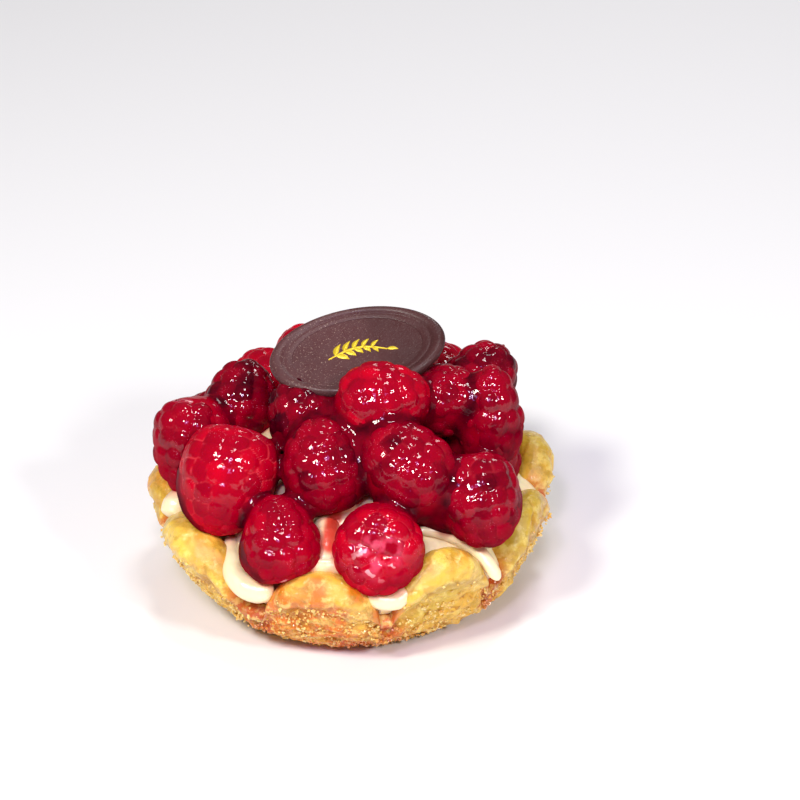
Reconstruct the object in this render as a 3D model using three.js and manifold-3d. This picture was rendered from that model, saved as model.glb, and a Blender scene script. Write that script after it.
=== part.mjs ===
// A raspberry tartlet: a cup of sugared pastry whose wall is cut into petals, a mound of cream that
// swells out between the petals, raspberries heaped on the cream, and an oval chocolate plaque.
// Millimetres, +Z up. The tartlet stands on z = 0, and its front is -Y.
import * as THREE from "three";
import { mergeVertices } from "three/addons/utils/BufferGeometryUtils.js";
import Module from "manifold-3d";

const wasm = await Module();
wasm.setup();

const degrees = THREE.MathUtils.degToRad;

// What neighbours keep between them.
const GAP = 0.3;

// Pastry cup. Radii are from the middle, heights from the table.
const FOOT_RADIUS = 27.6;
const FLOOR_HEIGHT = 5;
const RIM_HEIGHT = 27.2;
const CUT_FOOT = 5;
const CUT_PINCH = 2.4;
const PETAL_COLUMNS = 9;
const WALL_ROUGHNESS = 0.35;

// Each petal starts at an angle round from +X. It has the height of its middle, the height and the
// half width of the cut before it, how far its wall stands out from a round cup, and how far its lip
// swells out over the wall.
const PETALS = [
  { from: -168, top: 27.2, cut: 20.5, half: 1.5, out: -0.5, swell: 2.6 },
  { from: -124, top: 25.8, cut: 13.8, half: 4.5, out: -1.8, swell: 0.6 },
  { from: -81, top: 28.2, cut: 14.6, half: 2, out: -3.2, swell: 0.6 },
  { from: -41, top: 27.0, cut: 15.2, half: 3, out: -2.6, swell: 0.6 },
  { from: 2, top: 26.6, cut: 19.5, half: 2, out: 0, swell: 0.6 },
  { from: 41, top: 27.6, cut: 15.0, half: 3.5, out: 0.2, swell: 0.6 },
  { from: 79, top: 26.2, cut: 17.0, half: 2, out: 0, swell: 0.6 },
  { from: 121, top: 27.4, cut: 14.4, half: 4, out: -0.6, swell: 0.6 },
  { from: 161, top: 26.8, cut: 17.5, half: 2, out: 0.6, swell: 1.4 },
];

// The wall's section through the middle of a petal, as radius and height: from the foot over the
// rolled rim and down inside to the floor. The sugar sticks to the rows from the foot to the roll.
const WALL_SECTION = [
  [FOOT_RADIUS, 0],
  [31.8, 1.4],
  [36.1, 5.6],
  [39.3, 10.0],
  [41.1, 14.2],
  [42.0, 17.8],
  [43.8, 20.6],
  [43.9, 23.6],
  [42.3, 26.2],
  [39.7, RIM_HEIGHT],
  [37.1, 25.6],
  [35.6, 20.4],
  [32.6, 11],
  [26, FLOOR_HEIGHT],
];
const FIRST_SUGARED_ROW = 1;
const LAST_SUGARED_ROW = 5;

// Coarse sugar pressed into the wall.
const SUGAR_GRAINS = 40;
const SMALLEST_GRAIN = 0.9;
const LARGEST_GRAIN = 1.4;

// Cream mound, as radius and height before it is cut to fit the cup and the berries, and how much
// of a tongue swells out through a cut at each row. The columns are those of one petal.
const CREAM_COLUMNS = 4;
const TONGUE_REACH = 6.4;
const TONGUE_DROP = 3;
const CREAM_SECTION = [
  { radius: 0, height: 5.3, tongue: 0 },
  { radius: 25, height: 5.3, tongue: 0 },
  { radius: 33.7, height: 17.4, tongue: 0.9 },
  { radius: 34.5, height: 21.6, tongue: 1 },
  { radius: 33.6, height: 24.6, tongue: 0.7 },
  { radius: 29.5, height: 27.6, tongue: 0.2 },
  { radius: 18.5, height: 35, tongue: 0 },
  { radius: 0, height: 38, tongue: 0 },
];

// Raspberries.
const DRUPELET_HEIGHT = 0.75;
const BERRY_TAPER = 0.16;
const BERRY_HOLLOW = 2.6;
const LARGE_BERRY = 18.8;
const SHORT_BERRY = 20;

// Each raspberry: its middle, its width and length, and where the tip points, as degrees round from
// +X and degrees up.
const BERRIES = {
  front_middle: { at: [4.4, -32.8, 28.9], size: [19, 19], tip: [90, -25] },
  front_left: { at: [-16.2, -30.6, 29.6], size: [16.2, 19], tip: [110, 55] },
  left_big: { at: [-27.8, -17.0, 35.8], size: [20.8, 24.4], tip: [-112, -48] },
  left_edge: { at: [-36.4, -1.6, 34.4], size: [16.4, 22.5], tip: [-95, -62] },
  left_back: { at: [-25.8, 10.5, 38.6], size: [16, 17.5], tip: [75, 48] },
  middle: { at: [-7.2, -18.2, 39.8], size: [17.6, 20.8], tip: [115, 62] },
  middle_left: { at: [-11.4, -3.5, 43.2], size: [17, 18.5], tip: [130, 42] },
  middle_right: { at: [10.2, -20.0, 41.0], size: [18.6, 22], tip: [150, 38] },
  top_front: { at: [5.4, -8.2, 49.8], size: [17.4, 20], tip: [8, 10] },
  top_right: { at: [18.4, -1.5, 46.2], size: [15.6, 18], tip: [-40, 35] },
  right_tall: { at: [28.4, -5.0, 44.0], size: [13.4, 22.6], tip: [95, 76] },
  right_front: { at: [25.8, -22.4, 34.0], size: [18, 20.6], tip: [-70, -40] },
  right_back: { at: [26.2, 11.6, 42.4], size: [16.4, 19.5], tip: [40, 44] },
  back_right: { at: [27.6, 17.0, 28.6], size: [16.6, 18.6], tip: [30, -35] },
  back_mid_right: { at: [18.4, 28.6, 31.6], size: [18.2, 21], tip: [60, -30] },
  back_middle: { at: [-1.8, 33.2, 30.8], size: [18.4, 21.5], tip: [95, -28] },
  back_mid_left: { at: [-20.0, 26.4, 31.6], size: [17.6, 20.5], tip: [125, 20] },
  back_left: { at: [-33.0, 14.6, 28.6], size: [16.4, 19], tip: [160, -32] },
  crown_back: { at: [8.6, 17.0, 45.4], size: [17.6, 20], tip: [75, 30] },
  crown_left: { at: [-9.6, 14.0, 45.2], size: [17.2, 20.5], tip: [140, 28] },
  middle_low: { at: [1.4, -5.2, 37.4], size: [15.4, 17], tip: [60, -60] },
  right_low: { at: [26.8, 0.8, 30.6], size: [16, 18], tip: [10, -40] },
};
const DENT_COLUMNS = 11;
const DENT_ROWS = 6;

// Chocolate plaque: an oval dish with a rolled rim, leaning on the berries.
const PLAQUE_HALF_LENGTH = 19.1;
const PLAQUE_HALF_WIDTH = 11.3;
const PLAQUE_THICKNESS = 2.8;
const PLAQUE_AT = [-0.1, 4.4, 53.6];
const PLAQUE_LEAN = 22;
const PLAQUE_RISE = 6;
const PLAQUE_TURN = 8;
const PLAQUE_COLUMNS = 28;

const pastry = new THREE.MeshStandardMaterial({ color: 0xe3b968, roughness: 0.6, metalness: 0 });
const custard = new THREE.MeshStandardMaterial({ color: 0xfbe8c0, roughness: 0.35, metalness: 0 });
const raspberry = new THREE.MeshStandardMaterial({ color: 0xa80f28, roughness: 0.15, metalness: 0 });
const chocolate = new THREE.MeshStandardMaterial({ color: 0x4a3434, roughness: 0.45, metalness: 0 });

// A repeatable run of numbers from 0 to 1.
function seededRandom(seed) {
  let state = seed;
  return () => {
    state = (state * 1664525 + 1013904223) % 4294967296;
    return state / 4294967296;
  };
}

// The geometry with nothing but its places, and each place only once.
function joined(geometry) {
  const bare = geometry.clone();
  bare.deleteAttribute("normal");
  bare.deleteAttribute("uv");
  return mergeVertices(bare, 1e-4);
}

// A solid of one closed geometry. The empty triangles at its poles are left out.
function solid(geometry) {
  const whole = joined(geometry);
  const corners = whole.index.array;
  const kept = [];
  for (let i = 0; i < corners.length; i += 3) {
    const [a, b, c] = [corners[i], corners[i + 1], corners[i + 2]];
    if (a !== b && b !== c && c !== a) kept.push(a, b, c);
  }
  const vertProperties = whole.getAttribute("position").array;
  return new wasm.Manifold(new wasm.Mesh({ numProp: 3, vertProperties, triVerts: new Uint32Array(kept) }));
}

function geometryOf(manifold) {
  const { vertProperties, triVerts } = manifold.getMesh();
  const geometry = new THREE.BufferGeometry();
  geometry.setAttribute("position", new THREE.BufferAttribute(new Float32Array(vertProperties), 3));
  geometry.setIndex(new THREE.BufferAttribute(new Uint32Array(triVerts), 1));
  geometry.computeVertexNormals();
  return geometry;
}

// The largest of the pieces that a cut leaves.
function largest(manifold) {
  return manifold.decompose().reduce((best, piece) => (piece.volume() > best.volume() ? piece : best));
}

// The solid of a geometry whose surface is moved out by a distance.
function grown(geometry, distance) {
  const whole = joined(geometry);
  whole.computeVertexNormals();
  const places = whole.getAttribute("position");
  const normals = whole.getAttribute("normal");
  const place = new THREE.Vector3();
  const normal = new THREE.Vector3();
  for (let i = 0; i < places.count; i++) {
    place.fromBufferAttribute(places, i).addScaledVector(normal.fromBufferAttribute(normals, i), distance);
    places.setXYZ(i, place.x, place.y, place.z);
  }
  return solid(whole);
}

// A lathe about +Z whose vertices are placed by a function of column and row.
function turned(rows, columns, placeOf) {
  const profile = Array.from({ length: rows }, (_, row) => new THREE.Vector2(row, row));
  const geometry = new THREE.LatheGeometry(profile, columns);
  const places = geometry.getAttribute("position");
  for (let column = 0; column <= columns; column++)
    for (let row = 0; row < rows; row++) {
      const { radius, angle, height } = placeOf(column % columns, row);
      places.setXYZ(column * rows + row, radius * Math.cos(angle), radius * Math.sin(angle), height);
    }
  return geometry;
}

// Which petal an angle falls in, the one after it, and how far across it, from 0 to 1.
function petalAt(angle) {
  const turn = THREE.MathUtils.euclideanModulo(THREE.MathUtils.radToDeg(angle) - PETALS[0].from, 360);
  const starts = PETALS.map((petal) => petal.from - PETALS[0].from);
  const index = starts.findLastIndex((start) => start <= turn + 1e-6);
  const width = (starts[index + 1] ?? 360) - starts[index];
  const across = Math.max(turn - starts[index], 0) / width;
  return { petal: PETALS[index], next: PETALS[(index + 1) % PETALS.length], width, across };
}

// 0 in the cuts on both sides of a petal, 1 over its middle.
function petalArch({ petal, next, width, across }) {
  const start = petal.half / width;
  const end = 1 - next.half / width;
  const share = THREE.MathUtils.clamp((across - start) / (end - start), 0, 1);
  return Math.sin(Math.PI * share) ** 0.5;
}

// How far the wall stands out at an angle, blended from one petal's middle to the next.
function standsOut({ petal, next, across }) {
  const before = PETALS[(PETALS.indexOf(petal) + PETALS.length - 1) % PETALS.length];
  const [low, high, share] = across < 0.5 ? [before, petal, across + 0.5] : [petal, next, across - 0.5];
  return THREE.MathUtils.lerp(low.out, high.out, THREE.MathUtils.smoothstep(share, 0, 1));
}

// A point of the pastry wall at an angle. Between petals the rim drops to a cut, and the wall is
// pinched in.
function wallPoint(angle, [radius, height]) {
  const place = petalAt(angle);
  const arch = petalArch(place);
  const towardsNext = THREE.MathUtils.smoothstep(place.across, 0.3, 0.7);
  const cut = THREE.MathUtils.lerp(place.petal.cut, place.next.cut, towardsNext);
  const top = cut + (place.petal.top - cut) * arch;
  const lift = Math.max(height - CUT_FOOT, 0) / (RIM_HEIGHT - CUT_FOOT);
  const pinched = THREE.MathUtils.smoothstep(radius, 34, 42) * THREE.MathUtils.smoothstep(lift, 0, 0.7);
  const lip = (CUT_PINCH + place.petal.swell) * arch - CUT_PINCH;
  return {
    radius: radius + standsOut(place) + pinched * lip,
    height: Math.min(height, CUT_FOOT) + lift * (top - CUT_FOOT),
    angle,
  };
}

// The angle of a column, of a number per petal. Columns crowd towards the cuts.
function columnAngle(column, perPetal) {
  const index = Math.floor(column / perPetal);
  const start = PETALS[index].from;
  const end = PETALS[index + 1]?.from ?? PETALS[0].from + 360;
  const step = (column % perPetal) / perPetal;
  const crowded = (1 - Math.cos(Math.PI * step)) / 2;
  return degrees(start + ((end - start) * (step + crowded)) / 2);
}

function cupGeometry() {
  const random = seededRandom(11);
  const columns = PETALS.length * PETAL_COLUMNS;
  const rows = WALL_SECTION.length + 2;
  const rough = Array.from({ length: columns * rows }, () => (random() * 2 - 1) * WALL_ROUGHNESS);
  return turned(rows, columns, (column, row) => {
    const angle = columnAngle(column, PETAL_COLUMNS);
    if (row === 0) return { radius: 0, angle, height: 0 };
    if (row === rows - 1) return { radius: 0, angle, height: FLOOR_HEIGHT };
    const point = wallPoint(angle, WALL_SECTION[row - 1]);
    const sugared = row > FIRST_SUGARED_ROW && row <= LAST_SUGARED_ROW + 1;
    return { ...point, radius: point.radius + (sugared ? rough[column * rows + row] : 0) };
  });
}

// Sugar grains are small cubes set into the wall, each turned its own way.
function sugarGrains() {
  const random = seededRandom(29);
  return Array.from({ length: SUGAR_GRAINS }, (_, index) => {
    const angle = degrees((360 * (index + random() * 0.8)) / SUGAR_GRAINS);
    const row = FIRST_SUGARED_ROW + random() * (LAST_SUGARED_ROW - FIRST_SUGARED_ROW - 0.01);
    const [low, high] = [WALL_SECTION[Math.floor(row)], WALL_SECTION[Math.floor(row) + 1]];
    const spot = low.map((value, i) => THREE.MathUtils.lerp(value, high[i], row % 1));
    const { radius, height } = wallPoint(angle, spot);
    const side = THREE.MathUtils.lerp(SMALLEST_GRAIN, LARGEST_GRAIN, random());
    const turn = new THREE.Euler(random() * Math.PI, random() * Math.PI, random() * Math.PI);
    const grain = new THREE.BoxGeometry(side, side, side * 0.8);
    grain.applyQuaternion(new THREE.Quaternion().setFromEuler(turn));
    return solid(grain.translate(radius * Math.cos(angle), radius * Math.sin(angle), height));
  });
}

function creamGeometry() {
  return turned(CREAM_SECTION.length, PETALS.length * CREAM_COLUMNS, (column, row) => {
    const angle = columnAngle(column, CREAM_COLUMNS);
    const place = petalAt(angle);
    const { radius, height, tongue } = CREAM_SECTION[row];
    const swell = (1 - petalArch(place)) * tongue;
    const out = standsOut(place) * THREE.MathUtils.smoothstep(radius, 0, 25);
    return { radius: radius + out + TONGUE_REACH * swell, height: height - TONGUE_DROP * swell, angle };
  });
}

// A raspberry tip up. Its vertices form a triangular lattice that winds round the berry, and every
// third one stands out as a drupelet.
function berryGeometry([width, length]) {
  const [rows, columns] = width > LARGE_BERRY ? [10, 18] : [length > SHORT_BERRY ? 9 : 8, 15];
  return turned(rows + 1, columns, (column, row) => {
    const polar = (Math.PI * row) / rows;
    const angle = (2 * Math.PI * (column + row / 2)) / columns;
    if (row === 0) return { radius: 0, angle, height: BERRY_HOLLOW - length / 2 };
    if (row === rows) return { radius: 0, angle, height: length / 2 };
    const stands = (column - row + 2 * columns) % 3 === 0;
    const bump = (stands ? 0.65 : -0.35) * DRUPELET_HEIGHT * Math.sin(polar);
    const round = Math.sin(polar) ** 0.85 * (1 + BERRY_TAPER * Math.cos(polar));
    return { radius: (width / 2) * round + bump, height: -Math.cos(polar) * (length / 2 + bump), angle };
  });
}

// A smooth body of revolution that holds a raspberry with a gap all round.
function dentGeometry([width, length]) {
  const room = GAP + DRUPELET_HEIGHT * 0.65;
  const scale = 1 / Math.cos(Math.PI / DENT_COLUMNS);
  return turned(DENT_ROWS + 1, DENT_COLUMNS, (column, row) => {
    const polar = (Math.PI * row) / DENT_ROWS;
    const angle = (2 * Math.PI * column) / DENT_COLUMNS;
    const inner = row === 0 || row === DENT_ROWS;
    const round = Math.sin(polar) ** 0.85 * (1 + BERRY_TAPER * Math.cos(polar));
    const radius = inner ? 0 : (width / 2) * round + room * Math.sin(polar);
    return { radius: radius * scale, height: -Math.cos(polar) * (length / 2 + room) * scale, angle };
  });
}

// A unit vector from degrees round from +X and degrees up.
function direction([round, up]) {
  return new THREE.Vector3(
    Math.cos(degrees(up)) * Math.cos(degrees(round)),
    Math.cos(degrees(up)) * Math.sin(degrees(round)),
    Math.sin(degrees(up)),
  );
}

function placed(geometry, { at, tip }) {
  const turn = new THREE.Quaternion().setFromUnitVectors(new THREE.Vector3(0, 0, 1), direction(tip));
  return geometry.applyQuaternion(turn).translate(...at);
}

// How far a geometry reaches along a direction.
function reach(geometry, along) {
  const places = geometry.getAttribute("position");
  const place = new THREE.Vector3();
  const reachOf = (_, i) => place.fromBufferAttribute(places, i).dot(along);
  return Math.max(...Array.from({ length: places.count }, reachOf));
}

// A block that fills what lies beyond a plane, for cutting a berry with the given middle.
function beyond(normal, offset, middle) {
  const size = 60;
  const turn = new THREE.Quaternion().setFromUnitVectors(new THREE.Vector3(0, 0, 1), normal);
  const centre = middle.clone().addScaledVector(normal, offset + size / 2 - middle.dot(normal));
  return solid(new THREE.BoxGeometry(size, size, size).applyQuaternion(turn).translate(...centre));
}

// Berries that press on each other meet in a flat, halfway through their overlap.
function press(a, b) {
  if (a.body.intersect(b.room).isEmpty()) return;
  const normal = new THREE.Vector3().subVectors(b.middle, a.middle).normalize();
  const back = normal.clone().negate();
  const flat = (reach(a.whole, normal) - reach(b.whole, back)) / 2;
  a.body = a.body.subtract(beyond(normal, flat - GAP / 2, a.middle));
  b.body = b.body.subtract(beyond(back, -flat - GAP / 2, b.middle));
}

// The plaque's section as a share of its half length and width, and a height: the under side, the
// rolled rim, and the shallow dish.
const PLAQUE_SECTION = [
  [0, 0],
  [0.86, 0],
  [0.98, 0.8],
  [1, 1.7],
  [0.95, PLAQUE_THICKNESS],
  [0.86, PLAQUE_THICKNESS],
  [0.73, 1.9],
  [0, 1.8],
];

function plaqueGeometry() {
  const dish = turned(PLAQUE_SECTION.length, PLAQUE_COLUMNS, (column, row) => {
    const [radius, height] = PLAQUE_SECTION[row];
    return { radius, height, angle: degrees((360 * column) / PLAQUE_COLUMNS) };
  });
  dish.scale(PLAQUE_HALF_LENGTH, PLAQUE_HALF_WIDTH, 1);
  dish.rotateZ(degrees(PLAQUE_TURN));
  dish.rotateY(degrees(-PLAQUE_RISE));
  dish.rotateX(degrees(PLAQUE_LEAN));
  return dish.translate(...PLAQUE_AT);
}

// The raspberries, pressed together and cut clear of the cup and the plaque.
function heapOfBerries(cupRoom, plaqueRoom) {
  const heap = Object.entries(BERRIES).map(([name, berry]) => {
    const whole = placed(berryGeometry(berry.size), berry);
    const dent = solid(placed(dentGeometry(berry.size), berry));
    const middle = new THREE.Vector3(...berry.at);
    return { name, middle, whole, dent, body: solid(whole), room: grown(whole, GAP) };
  });
  heap.forEach((berry, index) => heap.slice(index + 1).forEach((other) => press(berry, other)));
  for (const berry of heap) berry.body = largest(berry.body.subtract(cupRoom).subtract(plaqueRoom));
  return heap;
}

const tart = new THREE.Group();

function add(name, manifold, material) {
  const mesh = new THREE.Mesh(geometryOf(manifold), material);
  mesh.name = name;
  tart.add(mesh);
}

const cup = cupGeometry();
const plaque = plaqueGeometry();
const cupRoom = grown(cup, GAP);
const heap = heapOfBerries(cupRoom, grown(plaque, GAP));
const mound = solid(creamGeometry()).subtract(cupRoom);
const cream = heap.reduce((rest, berry) => rest.subtract(berry.dent), mound);

add("pastry_cup", sugarGrains().reduce((wall, grain) => wall.add(grain), solid(cup)), pastry);
add("cream", largest(cream), custard);
for (const berry of heap) add("raspberry_" + berry.name, berry.body, raspberry);
add("chocolate_plaque", solid(plaque), chocolate);

// The origin is the middle of the tartlet's foot on the table.
const box = new THREE.Box3().setFromObject(tart);
const centre = box.getCenter(new THREE.Vector3());
tart.position.set(-centre.x, -centre.y, -box.min.z);

export default tart;
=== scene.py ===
"""The looks of a glazed raspberry tartlet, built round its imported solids. Metres, +Z up, front -Y."""

import math

import bpy
import numpy as np
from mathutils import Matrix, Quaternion, Vector
from mathutils.kdtree import KDTree


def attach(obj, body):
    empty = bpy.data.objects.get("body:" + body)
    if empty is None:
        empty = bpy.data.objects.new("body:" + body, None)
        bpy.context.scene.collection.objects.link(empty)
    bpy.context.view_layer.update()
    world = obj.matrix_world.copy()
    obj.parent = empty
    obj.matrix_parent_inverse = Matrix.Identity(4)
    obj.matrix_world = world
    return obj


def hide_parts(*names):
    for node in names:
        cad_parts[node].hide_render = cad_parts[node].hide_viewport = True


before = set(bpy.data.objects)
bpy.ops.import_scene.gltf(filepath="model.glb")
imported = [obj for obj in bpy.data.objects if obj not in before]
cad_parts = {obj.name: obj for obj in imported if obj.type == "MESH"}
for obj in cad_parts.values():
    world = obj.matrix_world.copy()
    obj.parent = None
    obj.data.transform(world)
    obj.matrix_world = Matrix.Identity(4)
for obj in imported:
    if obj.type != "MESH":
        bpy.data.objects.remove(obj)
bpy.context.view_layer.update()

MM = 0.001

# The camera that fits the photograph: 32 degrees above the table, aimed so that the tartlet's
# foot is left of and below the middle of the picture.
CAMERA_HEIGHT_ANGLE = 32.0
CAMERA_DISTANCE = 0.7645
PIXELS_PER_METRE = 4500.0
PICTURE_WIDTH = 800
SENSOR_WIDTH = 36
FOOT_PIXEL = (360.0, 572.0)

# Pastry wall: the same section, cuts and petals as the solid's, in millimetres and degrees.
WALL_SECTION = [
    (27.6, 0.0),
    (31.8, 1.4),
    (36.1, 5.6),
    (39.3, 10.0),
    (41.1, 14.2),
    (42.0, 17.8),
    (43.8, 20.6),
    (43.9, 23.6),
    (42.3, 26.2),
    (39.7, 27.2),
    (37.1, 25.6),
    (35.6, 20.4),
    (32.6, 11.0),
    (26.0, 5.0),
]
OUTSIDE_ROWS = 8
RIM_HEIGHT = 27.2
CUT_FOOT = 5.0
CUT_PINCH = 2.4
FLOOR_HEIGHT = 5.0
CUP_COLUMNS = 540
CUP_ROWS = 130

# Each petal: the angle it starts at, its height, the height and half width of the cut before it, how
# far its wall stands out, how far its lip swells, how stained it is and how far up sugar covers it.
PETAL_TRAITS = ("from", "top", "cut", "half", "out", "swell", "juice", "sugar")
PETALS = [
    dict(zip(PETAL_TRAITS, traits))
    for traits in (
        (-168, 27.2, 20.5, 1.5, -0.5, 2.6, 0.08, 0.4),
        (-124, 25.8, 13.8, 4.5, -1.8, 0.6, 0.92, 0.42),
        (-81, 28.2, 14.6, 2.0, -3.2, 0.6, 0.12, 0.3),
        (-41, 27.0, 15.2, 3.0, -2.6, 0.6, 0.06, 0.38),
        (2, 26.6, 19.5, 2.0, 0.0, 0.6, 0.2, 0.4),
        (41, 27.6, 15.0, 3.5, 0.2, 0.6, 0.15, 0.3),
        (79, 26.2, 17.0, 2.0, 0.0, 0.6, 0.35, 0.34),
        (121, 27.4, 14.4, 4.0, -0.6, 0.6, 0.15, 0.28),
        (161, 26.8, 17.5, 2.0, 0.6, 1.4, 0.15, 0.42),
    )
]

# Where juice has dried on the pastry under the cuts: degrees round, height and size in millimetres.
PASTRY_STAINS = [
    (-79.0, 11.0, 5.5),
    (-76.0, 4.0, 6.0),
    (-92.0, 3.0, 8.0),
    (-41.0, 14.0, 4.0),
    (-122.0, 11.0, 4.5),
    (4.0, 18.0, 4.0),
    (42.0, 12.0, 5.0),
    (122.0, 12.0, 5.0),
]

# Loose sugar crystals: how many, their half sizes, and the share of larger and of stray ones.
CRYSTAL_COUNT = 3400
CRYSTAL_SIZES = (0.18, 0.44)
LARGE_SHARE = 0.12
LARGE_SIZE = 1.7
STRAY_SHARE = 0.25
STRAY_REACH = 0.2

# Cream mound, as radius, height and share of a tongue at each row.
CREAM_SECTION = [
    (0.0, 5.3, 0.0),
    (25.0, 5.3, 0.0),
    (33.7, 17.4, 0.9),
    (34.5, 21.6, 1.0),
    (33.6, 24.6, 0.7),
    (29.5, 27.6, 0.2),
    (18.5, 35.0, 0.0),
    (0.0, 38.0, 0.0),
]
TONGUE_REACH = 6.4
TONGUE_DROP = 3.0
CREAM_COLUMNS = 360
CREAM_ROWS = 120

# Folds of cream pressed out between and over the petals: places along each, with half its
# thickness there.
CREAM_FOLDS = [
    [
        (-27.2, -20.0, 23.6, 1.4),
        (-27.0, -26.0, 22.2, 1.9),
        (-26.3, -30.4, 20.9, 2.3),
        (-24.0, -33.2, 19.6, 2.6),
        (-21.0, -34.2, 19.0, 2.7),
        (-17.6, -34.4, 19.6, 2.2),
    ],
    [
        (12.5, -24.6, 28.0, 0.9),
        (16.5, -23.8, 27.0, 1.3),
        (20.6, -23.7, 25.4, 1.5),
        (24.8, -24.8, 23.4, 1.6),
        (27.8, -27.4, 21.0, 1.6),
        (29.9, -29.8, 18.6, 1.2),
    ],
    [
        (2.0, -36.6, 21.0, 1.6),
        (4.6, -38.0, 19.4, 2.1),
        (8.2, -38.0, 19.4, 2.1),
        (10.6, -36.6, 21.0, 1.6),
    ],
    [
        (-36.2, -5.2, 25.0, 2.2),
        (-38.2, -7.2, 24.4, 2.9),
        (-39.8, -9.0, 23.4, 3.0),
        (-40.9, -10.8, 22.0, 2.2),
    ],
    [
        (-14.6, -35.0, 24.4, 1.4),
        (-11.4, -34.6, 25.0, 1.8),
        (-8.0, -34.0, 25.2, 1.9),
        (-4.6, -34.0, 25.0, 1.8),
        (-1.6, -34.6, 24.0, 1.4),
    ],
    [
        (-6.6, -22.5, 28.4, 3.0),
        (-6.8, -26.5, 27.2, 3.6),
        (-6.9, -30.4, 25.8, 3.4),
        (-6.8, -33.8, 24.0, 2.6),
    ],
]
FOLD_COLUMNS = 44
FOLD_ROWS = 96

# Where juice has run down the cream between the two front raspberries, and how wide.
JUICE_STREAK = ((-5.0, -23.6, 30.6), (-6.2, -31.4, 27.6))
JUICE_WIDTH = 1.7

# Raspberries: middle, width and length in millimetres, where the tip points in degrees round from +X and
# degrees up, how bright the red is, and how pale the seams between drupelets are. How bright the red is
# comes partly from each raspberry's own ripeness and partly from painted shade on those that lie in shade.
BERRIES = {
    "front_middle": ((4.4, -32.8, 28.9), (19.0, 19.0), (90, -25), 0.76, 0.5),
    "front_left": ((-16.2, -30.6, 29.6), (16.2, 19.0), (110, 55), 0.62, 0.1),
    "left_big": ((-27.8, -17.0, 35.8), (20.8, 24.4), (-112, -48), 0.78, 1.0),
    "left_edge": ((-36.4, -1.6, 34.4), (16.4, 22.5), (-95, -62), 0.55, 0.2),
    "left_back": ((-25.8, 10.5, 38.6), (16.0, 17.5), (75, 48), 0.34, 0.1),
    "middle": ((-7.2, -18.2, 39.8), (17.6, 20.8), (115, 62), 0.42, 0.1),
    "middle_left": ((-11.4, -3.5, 43.2), (17.0, 18.5), (130, 42), 0.22, 0.1),
    "middle_right": ((10.2, -20.0, 41.0), (18.6, 22.0), (150, 38), 0.44, 0.3),
    "top_front": ((5.4, -8.2, 49.8), (17.4, 20.0), (8, 10), 0.74, 0.3),
    "top_right": ((18.4, -1.5, 46.2), (15.6, 18.0), (-40, 35), 0.45, 0.2),
    "right_tall": ((28.4, -5.0, 44.0), (13.4, 22.6), (95, 76), 0.45, 0.1),
    "right_front": ((25.8, -22.4, 34.0), (18.0, 20.6), (-70, -40), 0.42, 0.3),
    "right_back": ((26.2, 11.6, 42.4), (16.4, 19.5), (40, 44), 0.35, 0.1),
    "back_right": ((27.6, 17.0, 28.6), (16.6, 18.6), (30, -35), 0.60, 0.2),
    "back_mid_right": ((18.4, 28.6, 31.6), (18.2, 21.0), (60, -30), 0.75, 0.6),
    "back_middle": ((-1.8, 33.2, 30.8), (18.4, 21.5), (95, -28), 0.50, 0.3),
    "back_mid_left": ((-20.0, 26.4, 31.6), (17.6, 20.5), (125, 20), 0.80, 0.5),
    "back_left": ((-33.0, 14.6, 28.6), (16.4, 19.0), (160, -32), 0.45, 0.2),
    "crown_back": ((8.6, 17.0, 45.4), (17.6, 20.0), (75, 30), 0.65, 0.3),
    "crown_left": ((-9.6, 14.0, 45.2), (17.2, 20.5), (140, 28), 0.85, 0.5),
    "middle_low": ((1.4, -5.2, 37.4), (15.4, 17.0), (60, -60), 0.35, 0.1),
    "right_low": ((26.8, 0.8, 30.6), (16.0, 18.0), (10, -40), 0.40, 0.1),
}
BERRY_TAPER = 0.16
BERRY_FULLNESS = 0.85
BERRY_HOLLOW = 1.2
BERRY_HOLLOW_SPREAD = 24
BERRY_GAP = 0.15
DRUPELET_WIDTH = 4.3
DRUPELET_HEIGHT = 1.0
SEAM_WIDTH = 1.1
BERRY_GRID = (96, 72)
FINE_BERRY_GRID = (150, 112)
FINE_FROM_SEAMS = 0.4

# Where glaze has pooled or hangs from a raspberry's side: a place and how thick it is there.
GLAZE_POOLS = [
    ((16.3, -20.0, 30.0), 4.2),
    ((14.8, -18.4, 32.0), 4.0),
    ((18.4, -21.8, 29.0), 3.2),
    ((-36.4, -15.2, 37.0), 1.6),
    ((-36.6, -17.6, 34.0), 1.9),
    ((-35.5, -20.3, 31.0), 1.9),
    ((-32.9, -23.1, 29.0), 1.6),
    ((-22.8, -31.3, 28.0), 1.8),
    ((-22.6, -33.6, 26.0), 2.0),
    ((-20.0, -36.4, 24.5), 1.5),
    ((32.4, -20.8, 34.0), 1.8),
    ((32.4, -22.6, 30.4), 2.0),
    ((29.0, -26.6, 27.6), 1.5),
]
# The grid that glaze is found on, how widely raspberries' forms blend into it, and how far under a
# lone raspberry's form it lies.
GLAZE_BOX = ((-50.0, -47.0, 18.0), (50.0, 50.0, 63.0))
GLAZE_STEP = 0.8
GLAZE_BLEND = 2.1
GLAZE_DEPTH = 0.9

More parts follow.
